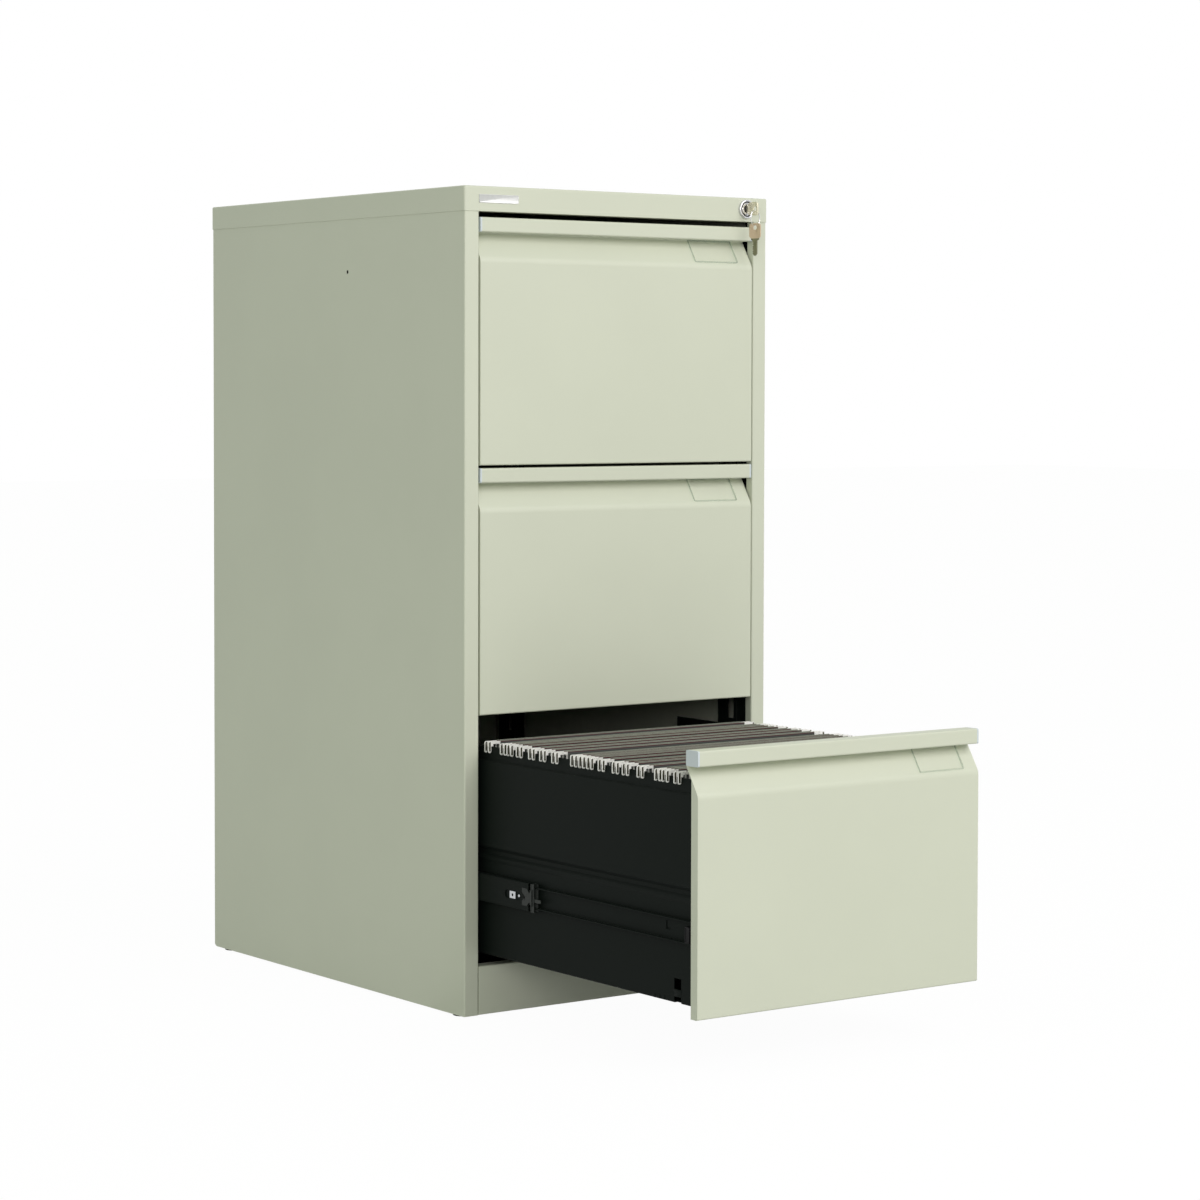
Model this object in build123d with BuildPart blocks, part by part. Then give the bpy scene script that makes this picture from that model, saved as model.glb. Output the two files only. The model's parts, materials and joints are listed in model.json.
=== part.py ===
"""Three-drawer steel filing cabinet for hanging files, with its bottom drawer drawn out.

Millimetres. X runs to the right of the front, Y from the front to the back, and Z is up.
The origin is on the floor, midway between the sides and midway between front and back.
"""
from build123d import *
import os
from math import atan2, cos, hypot, radians, sin

os.makedirs("parts", exist_ok=True)

# Outside of the cabinet
cabinet_width = 470.0
cabinet_depth = 622.0
cabinet_height = 1016.0
foot_height = 3.0
shell_gauge = 1.0
bend_radius = 1.5

# Top cap, uprights and plinth
cap_skirt = 30.5
cap_edge = 2.0
upright_face = 22.0
upright_return = 12.0
rear_flange = 12.0
rear_corner = 8.0
plinth_face = 60.0
plinth_return = 20.0
tray_wall = 24.0
side_hole_radius = 2.5
side_hole_from_front = 270.4
side_hole_below_top = 97.7

# Drawer fronts
drawer_count = 3
front_side_gap = 2.0
front_gap = 3.5
plinth_gap = 2.5
cap_gap = 7.0
grip_height = 18.0
grip_depth = 22.0
recess_height = 33.0
crease_radius = 14.0
front_return = 12.0
end_cap = 2.5
end_plug = 8.0

# How far the bottom drawer stands out, and the share of it that its slides follow
drawer_pull = 434.0
slide_share = 1.0 / 3.0

# Drawer tub, with heights from the bottom edge of the drawer front
tub_gauge = 0.8
tub_bottom = 12.0
hook_rail = 18.5
hook_rail_step = 2.5
tub_lower_gap = 10.0
tub_upper_gap = 7.0
tub_rear_gap = 42.0
tub_flange = 12.0
bead_set_in = 1.5
bead_above_slide = 31.0
bead_steps = (4.0, 6.4, 9.6, 14.4, 19.2)
front_slot_width = 13.0
front_slot_height = 28.0
front_slot_setback = 40.0
latch_tab_height = 12.0
latch_tab_width = 6.0
latch_tab_gauge = 4.0
latch_tab_level = 200.0

# Telescopic slides, with the level of their axis from the bottom edge of the drawer front
slide_level = 96.0
slide_gauge = 1.2
slide_bend = 1.0
fixed_runner_height = 42.0
middle_height = 34.0
drawer_runner_height = 26.0
opening_clear = 1.0
runner_clear = 2.0
middle_setback = 27.5
middle_rear_gap = 52.5
fixed_setback = 23.0
fixed_rear_gap = 37.0
retainer_length = 25.0
retainer_waist = 5.0
retainer_lap = 1.0
retainer_proud = 0.2
web_slot_length = 34.0
web_slot_height = 10.0
web_slot_setback = 32.5
web_slot_drop = 1.0
release_setback = 58.0
release_foot = 6.0
release_width = 2.5
release_rise = 8.0
release_drop = 2.0
ball_radius = 1.2
ball_pitch = 20.0
balls_in_row = 6
cage_width = 4.0
cage_gauge = 0.8
inner_cage_setback = 70.0
outer_cage_setback = 370.0

# Posts that carry the fixed runners
post_setback = 34.0
post_length = 40.0
post_slot_width = 12.0
post_slot_height = 26.0
post_top_gap = 5.0
slots_per_drawer = 5

# Lock
lock_from_right = 35.0
lock_below_top = 14.5
lock_rim_radius = 12.0
lock_rim_stand = 3.5
lock_rim_round = 1.2
lock_rim_band = 2.0
lock_rim_groove = 2.0
lock_body_radius = 9.0
lock_body_length = 21.0
barrel_radius = 6.5
barrel_fit = 0.05
barrel_recess = 1.0
barrel_band = 1.5
barrel_groove = 1.0
crank_radius = 6.0
crank_pin_radius = 2.0
cam_gauge = 3.0
cam_clear = 1.0
pin_slot_fit = 0.3
rod_gauge = 1.5
rod_width = 6.0
rod_from_side = 6.0
lock_rail_depth = 24.0
hook_height = 8.0
guide_height = 3.0
guide_wall = 1.5
guide_below_rail = 10.0

# Key and its ring
key_gauge = 2.0
bow_length = 19.5
bow_width = 17.0
bow_corner = 4.0
bow_hole_radius = 3.0
bow_hole_margin = 5.5
collar_width = 9.0
collar_length = 2.0
blade_length = 20.0
blade_width = 5.0
bitting = (1.0, 1.8, 0.8, 1.5, 1.1)
bit_start = 4.0
bit_pitch = 3.0
bit_width = 1.8
key_fit = 0.1
ring_radius = 9.9
ring_wire = 1.2
ring_gap = 0.15
ring_turn = 16.0

# Plain plate on the cap
badge_width = 58.0
badge_height = 10.3
badge_gauge = 0.8
badge_from_left = 21.0
badge_below_top = 15.2
badge_corner = 1.0

# Clear label sleeve on each drawer's slanted recess
label_width = 69.0
label_from_edge = 22.0
label_start = 4.0
label_length = 33.0
label_depth = 2.2
label_wall = 0.7
label_corner = 2.0

# Hanging files in the bottom drawer
file_setbacks = (45, 68, 81, 114, 143, 163, 190, 212, 229, 246, 284, 309, 331, 357, 377, 392, 425)
bar_pair_gap = 2.5
bar_gauge = 1.6
bar_height = 10.0
bar_above_rail = 6.0
hook_tip_width = 4.0
hook_tip_drop = 6.0
leaf_gauge = 0.6
pocket_height = 232.0
pocket_floor_gap = 26.4
pocket_side_gap = 12.0

# Glides
foot_radius = 11.0
foot_stem_radius = 4.0
foot_stem_height = 10.0
foot_inset = 28.0
foot_chamfer = 0.8

# Small clearances
touch_gap = 0.1
free_gap = 0.5
cut_margin = 1.0

# Places worked out from the sizes above
cap_bottom = cabinet_height - cap_skirt
body_half = cabinet_width / 2 - shell_gauge
front_plane = -cabinet_depth / 2 + shell_gauge
rear_plane = -front_plane
opening_half = cabinet_width / 2 - upright_face
plinth_top = foot_height + plinth_face
front_half = opening_half - front_side_gap
fronts_room = cap_bottom - cap_gap - plinth_top - plinth_gap
front_height = (fronts_room - (drawer_count - 1) * front_gap) / drawer_count
drawer_pitch = front_height + front_gap
grip_bottom = front_height - grip_height
crease = grip_bottom - recess_height
recess_run = grip_depth - shell_gauge
recess_rise = recess_height + shell_gauge / 2
recess_slope = recess_run / recess_rise
lower_face = opening_half - tub_lower_gap
upper_face = opening_half - tub_upper_gap
post_face = opening_half + runner_clear + touch_gap * 2
tub_front = front_return + touch_gap
tub_rear = cabinet_depth - 2 * shell_gauge - tub_rear_gap
floor_top = tub_bottom + 2 * tub_gauge
pocket_above_rail = bar_above_rail - bar_height / 4
tub_top = floor_top + pocket_floor_gap + pocket_height - pocket_above_rail
middle_length = cabinet_depth - 2 * shell_gauge - middle_setback - middle_rear_gap
fixed_length = cabinet_depth - 2 * shell_gauge - fixed_setback - fixed_rear_gap
lock_x = cabinet_width / 2 - lock_from_right
lock_z = cabinet_height - lock_below_top
cap_face = front_plane - shell_gauge
lock_rear = front_plane + lock_body_length
crank_rise = crank_radius * sin(radians(45))
rod_lift = 2 * crank_rise
rod_y = lock_rear + cam_gauge + cam_clear
rod_outer = body_half - shell_gauge - rod_from_side
rod_inner = rod_outer - rod_width
post_bottom = foot_height + tray_wall + 3 * shell_gauge
post_top = cap_bottom - post_top_gap


def save(piece, name):
    """Label one finished piece and write it out under its own name."""
    piece.label = name
    export_step(piece, f"parts/{name}.step")


def bent_sheet(plane, points, gauge, length, radius):
    """A sheet bent along a line of points, as long as the plane's normal says."""
    with BuildPart() as sheet:
        with BuildSketch(plane):
            with BuildLine():
                FilletPolyline(*points, radius=radius)
            trace(line_width=gauge)
        extrude(amount=length)
    return sheet.part


def facing_back(y):
    """A plane across the cabinet; a negative extrusion from it runs to the back."""
    return Plane.XZ.offset(-y)


def block(low, high):
    """A plain block between two corners."""
    size = [b - a for a, b in zip(low, high)]
    centre = [(a + b) / 2 for a, b in zip(low, high)]
    with BuildPart() as piece:
        with Locations(Vector(*centre)):
            Box(*size)
    return piece.part


def spread(hand, near, far):
    """Order two distances from the middle as left and right for one hand of the cabinet."""
    return min(hand * near, hand * far), max(hand * near, hand * far)


def drawer_base(number):
    """Level of the bottom edge of one drawer front, with drawer 1 at the top."""
    return plinth_top + plinth_gap + (drawer_count - number) * drawer_pitch


# Side panels, each with its upright, folded from one sheet
def side_panel(hand):
    half = shell_gauge / 2
    edge = hand * (opening_half + half)
    wall = hand * (body_half - half)
    front = front_plane + half
    rear = rear_plane - half
    path = [
        (edge, front_plane + upright_return),
        (edge, front),
        (wall, front),
        (wall, rear),
        (wall - hand * (rear_flange - half), rear),
    ]
    height = cabinet_height - shell_gauge - foot_height
    with BuildPart() as panel:
        add(bent_sheet(Plane.XY.offset(foot_height), path, shell_gauge, height, bend_radius))
        with BuildSketch(Plane.YZ.offset(hand * body_half)):
            with Locations((rear_plane, foot_height)):
                Rectangle(2 * rear_corner, 2 * rear_corner)
            with Locations((rear_plane - rear_corner, foot_height + rear_corner)):
                Circle(rear_corner, mode=Mode.SUBTRACT)
        extrude(amount=-hand * 2 * rear_flange, mode=Mode.SUBTRACT)
        if hand < 0:
            hole_y = front_plane + side_hole_from_front
            with BuildSketch(Plane.YZ.offset(wall)):
                with Locations((hole_y, cabinet_height - side_hole_below_top)):
                    Circle(side_hole_radius)
            extrude(amount=shell_gauge, both=True, mode=Mode.SUBTRACT)
    return panel.part


save(side_panel(-1), "side_panel_left")
save(side_panel(1), "side_panel_right")

# Back panel, between the sides and in front of their rear flanges
back_y = rear_plane - 1.5 * shell_gauge - touch_gap
back_low = foot_height + shell_gauge / 2 + touch_gap
back_high = cabinet_height - 1.5 * shell_gauge - touch_gap
back_half = body_half - shell_gauge - bend_radius
back_path = [
    (back_y - rear_flange, back_low),
    (back_y, back_low),
    (back_y, back_high),
    (back_y - rear_flange, back_high),
]
back_plane = Plane.YZ.offset(-back_half)
save(bent_sheet(back_plane, back_path, shell_gauge, 2 * back_half, bend_radius), "back_panel")

# Top cap, a tray turned over the sides, with the hole for the lock in its front skirt
with BuildPart() as cap:
    with BuildSketch(Plane.XY.offset(cap_bottom)):
        RectangleRounded(cabinet_width, cabinet_depth, bend_radius + 1.5 * shell_gauge)
    extrude(amount=cap_skirt)
    with BuildSketch(Plane.XY.offset(cap_bottom)):
        inner_width = cabinet_width - 2 * shell_gauge
        inner_depth = cabinet_depth - 2 * shell_gauge
        RectangleRounded(inner_width, inner_depth, bend_radius + 0.5 * shell_gauge)
    extrude(amount=cap_skirt - shell_gauge, mode=Mode.SUBTRACT)
    fillet(cap.faces().sort_by(Axis.Z)[-1].outer_wire().edges(), cap_edge)
    with BuildSketch(facing_back(cap_face)):
        with Locations((lock_x, lock_z)):
            Circle(lock_body_radius + touch_gap)
    extrude(amount=-2 * shell_gauge, mode=Mode.SUBTRACT)
save(cap.part, "top_cap")

# Rail behind the cap's front skirt, which ties the uprights and holds the lock
rail_half = shell_gauge / 2
rail_low = cap_bottom + rail_half
rail_high = cabinet_height - shell_gauge - touch_gap - rail_half
rail_rear = front_plane + lock_rail_depth
rail_path = [
    (rail_rear, rail_low),
    (front_plane + rail_half, rail_low),
    (front_plane + rail_half, rail_high),
    (rail_rear, rail_high),
]
rail_reach = opening_half - touch_gap
with BuildPart() as lock_rail:
    add(bent_sheet(Plane.YZ.offset(-rail_reach), rail_path, shell_gauge, 2 * rail_reach, bend_radius))
    with BuildSketch(facing_back(front_plane - shell_gauge)):
        with Locations((lock_x, lock_z)):
            Circle(lock_body_radius + touch_gap)
    extrude(amount=-3 * shell_gauge, mode=Mode.SUBTRACT)
save(lock_rail.part, "lock_rail")

# Plinth, flush with the uprights
plinth_rear = front_plane + plinth_return
plinth_path = [
    (plinth_rear, foot_height + rail_half),
    (front_plane + rail_half, foot_height + rail_half),
    (front_plane + rail_half, plinth_top - rail_half),
    (plinth_rear, plinth_top - rail_half),
    (plinth_rear, plinth_top - upright_return),
]
plinth_plane = Plane.YZ.offset(-rail_reach)
save(bent_sheet(plinth_plane, plinth_path, shell_gauge, 2 * rail_reach, bend_radius), "plinth_panel")

# Base tray between the sides, which the glides are pushed into
tray_half = body_half - 1.5 * shell_gauge - touch_gap
tray_front = plinth_rear + shell_gauge
tray_rear = back_y - rear_flange - 2 * shell_gauge
tray_path = [
    (-tray_half, foot_height + tray_wall),
    (-tray_half, foot_height + rail_half),
    (tray_half, foot_height + rail_half),
    (tray_half, foot_height + tray_wall),
]
foot_x = cabinet_width / 2 - foot_inset / 2 - shell_gauge
foot_y = cabinet_depth / 2 - foot_inset
feet = [(sx * foot_x, sy * foot_y) for sx in (-1, 1) for sy in (-1, 1)]
with BuildPart() as base_tray:
    depth = tray_rear - tray_front
    add(bent_sheet(facing_back(tray_front), tray_path, shell_gauge, -depth, bend_radius))
    with BuildSketch(Plane.XY.offset(foot_height - shell_gauge)):
        with Locations(*feet):
            Circle(foot_stem_radius + touch_gap)
    extrude(amount=3 * shell_gauge, mode=Mode.SUBTRACT)
save(base_tray.part, "base_tray")

# Four nylon glides
with BuildPart() as glides:
    with BuildSketch():
        with Locations(*feet):
            Circle(foot_radius)
    extrude(amount=foot_height)
    chamfer(glides.faces().sort_by(Axis.Z)[0:4].edges(), foot_chamfer)
    with BuildSketch(Plane.XY.offset(foot_height)):
        with Locations(*feet):
            Circle(foot_stem_radius)
    extrude(amount=foot_stem_height)
save(glides.part, "glide_feet")


# Slotted posts, two at the front and two at the rear, which carry the fixed runners
def post_pair(front):
    outer = body_half - shell_gauge - touch_gap
    web = post_face + slide_gauge / 2
    first = front + slide_gauge / 2
    last = front + post_length - slide_gauge / 2
    slot_pitch = drawer_pitch / slots_per_drawer
    slot_rows = int((post_top - post_bottom) / slot_pitch) - 1
    with BuildPart() as posts:
        for hand in (-1, 1):
            path = [(hand * outer, first), (hand * web, first), (hand * web, last), (hand * outer, last)]
            height = post_top - post_bottom
            add(bent_sheet(Plane.XY.offset(post_bottom), path, slide_gauge, height, slide_bend))
        with BuildSketch(Plane.YZ):
            with Locations((front + post_slot_width, (post_bottom + post_top) / 2)):
                with GridLocations(1, slot_pitch, 1, slot_rows):
                    Rectangle(post_slot_width, post_slot_height)
        extrude(amount=post_face + 2 * slide_gauge, both=True, mode=Mode.SUBTRACT)
    return posts.part


save(post_pair(front_plane + post_setback), "front_posts")
save(post_pair(rear_plane - post_setback - post_length), "rear_posts")


# One channel of a slide: its web stands at one place and its lips reach to another
def slide_channel(hand, web_face, lip_end, height, level, start, length):
    step = slide_gauge / 2 if lip_end > web_face else -slide_gauge / 2
    web = hand * (web_face + step)
    rise = height / 2 - slide_gauge / 2
    path = [
        (hand * lip_end, level - rise),
        (web, level - rise),
        (web, level + rise),
        (hand * lip_end, level + rise),
    ]
    return bent_sheet(facing_back(start), path, slide_gauge, -length, slide_bend)


middle_face = opening_half - opening_clear
middle_lips = lower_face + 2 * slide_gauge
fixed_lips = middle_lips + free_gap
runner_lips = middle_face - slide_gauge - opening_clear

with BuildPart() as fixed_runners:
    for number in range(1, drawer_count + 1):
        level = drawer_base(number) + slide_level
        for hand in (-1, 1):
            start = front_plane + fixed_setback
            face = post_face
            add(slide_channel(hand, face, fixed_lips, fixed_runner_height, level, start, fixed_length))
save(fixed_runners.part, "cabinet_runners")


# Drawer front: panel, slanted finger recess and hollow grip bar folded from one sheet
def drawer_front(base, front):
    half = shell_gauge / 2
    path = [
        (front + front_return, base + half),
        (front + half, base + half),
        (front + half, base + crease),
        (front + grip_depth - half, base + grip_bottom + half),
        (front + half, base + grip_bottom + half),
        (front + half, base + front_height - half),
        (front + grip_depth - half, base + front_height - half),
        (front + grip_depth - half, base + grip_bottom + grip_height / 2),
    ]
    bends = [bend_radius] * (len(path) - 2)
    bends[path.index((front + half, base + crease)) - 1] = crease_radius
    with BuildPart() as panel:
        sheet_plane = Plane.YZ.offset(-front_half)
        add(bent_sheet(sheet_plane, path, shell_gauge, 2 * front_half, bends))
        for hand in (-1, 1):
            with BuildSketch(Plane.YZ.offset(hand * front_half)):
                with BuildLine():
                    Polyline(
                        (front + half, base + half),
                        (front + half, base + crease - front_return),
                        (front + shell_gauge, base + crease),
                        (front + front_return, base + crease + front_return / recess_slope),
                        (front + front_return, base + half),
                        close=True,
                    )
                make_face()
            extrude(amount=-hand * shell_gauge)
            near, far = spread(hand, front_half - end_cap, front_half + cut_margin)
            low = (near, front - cut_margin, base + grip_bottom)
            high = (far, front + grip_depth + cut_margin, base + front_height + cut_margin)
            add(block(low, high), mode=Mode.SUBTRACT)
    return panel.part


# Plastic caps that close the two ends of the grip bar
def grip_end_caps(base, front):
    middle_y = front + grip_depth / 2
    middle_z = base + grip_bottom + grip_height / 2
    wall = shell_gauge + touch_gap
    with BuildPart() as caps:
        for hand in (-1, 1):
            with BuildSketch(Plane.YZ.offset(hand * front_half)):
                with Locations((middle_y, middle_z)):
                    RectangleRounded(grip_depth, grip_height, bend_radius + shell_gauge / 2)
            extrude(amount=-hand * end_cap)
            with BuildSketch(Plane.YZ.offset(hand * (front_half - end_cap))):
                with Locations((middle_y, middle_z)):
                    RectangleRounded(grip_depth - 2 * wall, grip_height - 2 * wall, shell_gauge)
            extrude(amount=-hand * end_plug)
    return caps.part


# Clear label sleeve: a back, two sides, a bottom lip and a window, open at the top
def label_sleeve(base, front):
    slant = atan2(recess_rise, recess_run)
    right = front_half - label_from_edge
    middle = right - label_width / 2
    along = Vector(0, cos(slant), sin(slant))
    outward = Vector(0, -sin(slant), cos(slant))
    foot = Vector(middle, front + shell_gauge / 2, base + crease) + along * label_start
    length = min(label_length, hypot(recess_run, recess_rise) - label_start)
    lift = shell_gauge / 2 + touch_gap
    plane = Plane(origin=foot + outward * lift, x_dir=(1, 0, 0), z_dir=outward)
    with BuildPart() as sleeve:
        with BuildSketch(plane):
            with Locations((0, length / 2)):
                RectangleRounded(label_width, length, label_corner)
        extrude(amount=label_depth)
        with BuildSketch(plane.offset(label_wall)):
            with Locations((0, length / 2 + 2 * label_wall)):
                Rectangle(label_width - 4 * label_wall, length)
        extrude(amount=label_depth - 2 * label_wall, mode=Mode.SUBTRACT)
    return sleeve.part


# Side of the tub: lower wall, bead, upper wall and the rail that file hooks hang on
def tub_side(hand, base, front):
    half = tub_gauge / 2
    lower = hand * (lower_face - half)
    upper = hand * (upper_face - half)
    groove = hand * (lower_face - half - tub_gauge * 2)
    bead = base + slide_level + bead_above_slide
    path = [
        (lower - hand * tub_flange, base + tub_bottom + half),
        (lower, base + tub_bottom + half),
        (lower, bead),
        (upper - hand * bead_set_in, bead + bead_steps[0]),
        (upper - hand * bead_set_in, bead + bead_steps[1]),
        (groove, bead + bead_steps[2]),
        (groove, bead + bead_steps[3]),
        (upper, bead + bead_steps[4]),
        (upper, base + tub_top - hook_rail),
        (lower, base + tub_top - hook_rail + hook_rail_step),
        (lower, base + tub_top),
    ]
    with BuildPart() as side:
        start = front + tub_front
        add(bent_sheet(facing_back(start), path, tub_gauge, -(tub_rear - tub_front), tub_gauge))
        slot = front + front_slot_setback
        near, far = spread(hand, lower_face - 2 * tub_flange, upper_face + cut_margin)
        low = (near, slot, base)
        high = (far, slot + front_slot_width, base + tub_bottom + front_slot_height)
        add(block(low, high), mode=Mode.SUBTRACT)
    return side.part


# Tab on the right side of the tub, which the locking rod's hook holds
def latch_tab(base, front):
    tab_y = rod_y + rod_gauge + free_gap - front_plane + front
    tab_z = base + latch_tab_level
    low = (upper_face, tab_y, tab_z)
    high = (upper_face + latch_tab_width, tab_y + latch_tab_gauge, tab_z + latch_tab_height)
    with BuildPart() as tab:
        add(block(low, high))
        chamfer(tab.faces().sort_by(Axis.X)[-1].edges(), touch_gap * 5)
    return tab.part


# Floor of the tub, lying on the flanges of its sides
def tub_floor(base, front):
    reach = lower_face - 3 * tub_gauge
    low = (-reach, front + tub_front + tub_gauge + touch_gap, base + tub_bottom + tub_gauge)
    high = (reach, front + tub_rear - 2 * tub_gauge, base + floor_top)
    return block(low, high)


# Inner front of the tub, which its sides and floor are welded to
def tub_inner_front(base, front):
    half = tub_gauge / 2
    reach = lower_face - 3 * tub_gauge - 2 * touch_gap
    y = front + tub_front + half
    low = base + tub_bottom + 3 * tub_gauge
    high = base + crease + front_return / recess_slope - 2 * tub_flange / 3
    path = [(y + tub_flange, low), (y, low), (y, high), (y + tub_flange, high)]
    return bent_sheet(Plane.YZ.offset(-reach), path, tub_gauge, 2 * reach, tub_gauge)


# Back of the tub
def tub_back(base, front):
    half = tub_gauge / 2
    reach = lower_face - 3 * tub_gauge - 2 * touch_gap
    y = front + tub_rear - half
    low = base + tub_bottom + 3 * tub_gauge
    high = base + tub_top - hook_rail
    path = [(y - tub_flange, low), (y, low), (y, high), (y - tub_flange, high)]
    return bent_sheet(Plane.YZ.offset(-reach), path, tub_gauge, 2 * reach, tub_gauge)


# Runners on both sides of the tub, each with the release slot near its front end
def drawer_runners(base, front):
    level = base + slide_level
    start = front + tub_front
    length = tub_rear - tub_front - front_return / 2
    with BuildPart() as runners:
        for hand in (-1, 1):
            height = drawer_runner_height
            add(slide_channel(hand, lower_face, runner_lips, height, level, start, length))
            low = level - release_drop
            foot_y = front + release_setback
            stem_y = foot_y + release_foot
            near, far = spread(hand, lower_face - touch_gap, lower_face + slide_gauge + touch_gap)
            stem_end = (far, stem_y + release_width, level + release_rise)
            add(block((near, stem_y, low), stem_end), mode=Mode.SUBTRACT)
            foot_end = (far, stem_y, low + release_width)
            add(block((near, foot_y, low), foot_end), mode=Mode.SUBTRACT)
    return runners.part


# Middle members of the two slides, each with a rounded slot near the front end of its web
def middle_slides(base, shift):
    level = base + slide_level
    start = front_plane + middle_setback + retainer_length / 2 - shift
    with BuildPart() as slides:
        for hand in (-1, 1):
            length = middle_length - retainer_length / 2
            add(slide_channel(hand, middle_face, middle_lips, middle_height, level, start, length))
        with BuildSketch(Plane.YZ):
            with Locations((start + web_slot_setback, level - web_slot_drop)):
                SlotOverall(web_slot_length, web_slot_height)
        extrude(amount=middle_face + cut_margin, both=True, mode=Mode.SUBTRACT)
    return slides.part


# Plastic retainers on the front ends of the middle members
def slide_retainers(base, shift):
    level = base + slide_level
    start = front_plane + middle_setback - shift
    split = start + retainer_length / 2 - touch_gap
    inner = runner_lips + free_gap
    rise = middle_height / 2 + free_gap
    step = drawer_runner_height / 2 + opening_clear
    with BuildPart() as retainers:
        for hand in (-1, 1):
            near, far = spread(hand, inner, middle_face + retainer_proud)
            add(block((near, start, level - rise), (far, split, level + rise)))
            near, far = spread(hand, middle_lips, middle_face)
            add(block((near, start, level + step), (far, split, level + rise)))
            add(block((near, start, level - rise), (far, split, level - step)))
            near, far = spread(hand, inner, middle_face - slide_gauge - touch_gap / 2)
            waist = step - retainer_waist
            low = (near, split - retainer_lap, level - waist)
            high = (far, start + retainer_length, level + waist)
            add(block(low, high))
    return retainers.part


# Rows of balls in their cages, above and below each slide's inner and outer race
def ball_rows(base, shift):
    level = base + slide_level
    row_x = (middle_lips + runner_lips) / 2
    inner_z = (middle_height / 2 - slide_gauge + drawer_runner_height / 2) / 2
    outer_z = (fixed_runner_height / 2 - slide_gauge + middle_height / 2) / 2
    row_length = ball_pitch * balls_in_row
    inner_y = front_plane + inner_cage_setback - shift
    outer_y = front_plane + outer_cage_setback - shift
    half = cage_gauge / 2
    with BuildPart() as rows:
        for hand in (-1, 1):
            for rise, start in ((inner_z, inner_y), (outer_z, outer_y)):
                for side in (-1, 1):
                    z = level + side * rise
                    near, far = spread(hand, row_x - cage_width / 2, row_x + cage_width / 2)
                    add(block((near, start, z - half), (far, start + row_length, z + half)))
                    with Locations((hand * row_x, start + row_length / 2, z)):
                        with GridLocations(1, ball_pitch, 1, balls_in_row):
                            Sphere(ball_radius)
    return rows.part


for number in range(1, drawer_count + 1):
    pull = drawer_pull if number == drawer_count else 0.0
    base = drawer_base(number)
    front = front_plane - pull
    shift = pull * slide_share
    name = f"drawer_{number}"
    save(drawer_front(base, front), f"{name}_front")
    save(grip_end_caps(base, front), f"{name}_end_caps")
    save(label_sleeve(base, front), f"{name}_label_sleeve")
    save(tub_inner_front(base, front), f"{name}_inner_front")
    save(tub_side(-1, base, front), f"{name}_side_left")
    save(tub_side(1, base, front), f"{name}_side_right")
    save(latch_tab(base, front), f"{name}_latch_tab")
    save(tub_floor(base, front), f"{name}_floor")
    save(tub_back(base, front), f"{name}_back")
    save(drawer_runners(base, front), f"{name}_runners")
    save(middle_slides(base, shift), f"{name}_slides")
    save(slide_retainers(base, shift), f"{name}_retainers")
    save(ball_rows(base, shift), f"{name}_balls")

# Hanging files: two bars and one folded pocket each, a little unevenly spaced
file_base = drawer_base(drawer_count)
file_front = front_plane - drawer_pull
hook_level = file_base + tub_top
bar_top = hook_level + bar_above_rail
bar_inner = lower_face - tub_gauge - free_gap
notch_outer = lower_face + free_gap
tip_outer = notch_outer + hook_tip_width


# One bar with a hook at each end, as a flat stamping that stands on edge
def hanger_bar(y):
    low = bar_top - bar_height
    with BuildPart() as bar:
        with BuildSketch(facing_back(y)):
            with Locations((0, (low + bar_top) / 2)):
                Rectangle(2 * bar_inner, bar_height)
            with Locations((0, (hook_level + touch_gap + bar_top) / 2)):
                Rectangle(2 * tip_outer, bar_top - hook_level - touch_gap)
            tip_low = hook_level - hook_tip_drop
            for hand in (-1, 1):
                middle = hand * (notch_outer + tip_outer) / 2
                with Locations((middle, (tip_low + bar_top) / 2)):
                    Rectangle(hook_tip_width, bar_top - tip_low)
                with Locations((middle, tip_low)):
                    Circle(hook_tip_width / 2)
        extrude(amount=-bar_gauge)
    return bar.part


# One pocket: two leaves, and the strip between their feet
def file_pocket(y):
    reach = lower_face - tub_gauge - pocket_side_gap
    top = hook_level + pocket_above_rail
    foot = top - pocket_height
    with BuildPart() as pocket:
        for hand in (-1, 1):
            near, far = spread(hand, bar_pair_gap, bar_pair_gap + leaf_gauge)
            add(block((-reach, y + near, foot), (reach, y + far, top)))
        half = bar_pair_gap - touch_gap / 2
        add(block((-reach, y - half, foot), (reach, y + half, foot + leaf_gauge)))
    return pocket.part


with BuildPart() as hangers:
    for setback in file_setbacks:
        y = file_front + setback
        outside = bar_pair_gap + leaf_gauge + touch_gap / 2
        add(hanger_bar(y - outside - bar_gauge))
        add(hanger_bar(y + outside))
save(hangers.part, "file_hangers")

with BuildPart() as pockets:
    for setback in file_setbacks:
        add(file_pocket(file_front + setback))
save(pockets.part, "file_pockets")

# Lock housing: chrome rim in front of the cap and a body through it
lock_front = cap_face - lock_rim_stand
with BuildPart() as housing:
    with BuildSketch(facing_back(lock_front)):
        with Locations((lock_x, lock_z)):
            Circle(lock_rim_radius)
    extrude(amount=-lock_rim_stand)
    fillet(housing.faces().sort_by(Axis.Y)[0].edges(), lock_rim_round)
    with BuildSketch(facing_back(cap_face)):
        with Locations((lock_x, lock_z)):
            Circle(lock_body_radius)
    extrude(amount=-(lock_rear - cap_face))
    with BuildSketch(facing_back(lock_front)):
        with Locations((lock_x, lock_z)):
            Circle(barrel_radius + barrel_fit)
    extrude(amount=-(lock_rear - lock_front), mode=Mode.SUBTRACT)
    with BuildSketch(facing_back(lock_front)):
        with Locations((lock_x, lock_z)):
            Circle(lock_rim_radius - lock_rim_band)
            Circle(lock_rim_radius - lock_rim_band - lock_rim_groove, mode=Mode.SUBTRACT)
    extrude(amount=-barrel_recess, mode=Mode.SUBTRACT)
save(housing.part, "lock_housing")

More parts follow.
